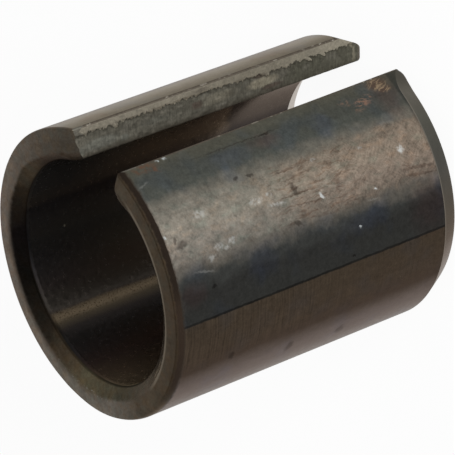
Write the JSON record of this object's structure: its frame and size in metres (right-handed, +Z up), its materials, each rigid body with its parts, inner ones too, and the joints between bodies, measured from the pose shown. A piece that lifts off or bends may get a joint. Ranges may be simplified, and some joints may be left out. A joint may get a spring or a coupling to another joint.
{
  "type": "clamping bushing",
  "caption": "Thick-walled sleeve rolled from spring steel, slotted along its whole length, with a lead-in chamfer at one end and a bevelled bore, that springs tight in a housing",
  "frame": {"origin": "middle of the bore, on its axis, half way between the flat of the top end and the flat of the bottom end", "axes": "+Z up along the bore, from the chamfered end that is pressed in first to the plain end; -Y out through the middle of the slot; the lip that was rolled out of line is on the +X side"},
  "size_m": [0.0465, 0.0456, 0.0566],
  "materials": {
    "spring_steel": "hardened and tempered spring steel with a dark scale, heat tint, rubbed taupe patches and bare sheared edges"
  },
  "bodies": {
    "root": {"split_sleeve": "spring_steel"}
  },
  "joints": []
}
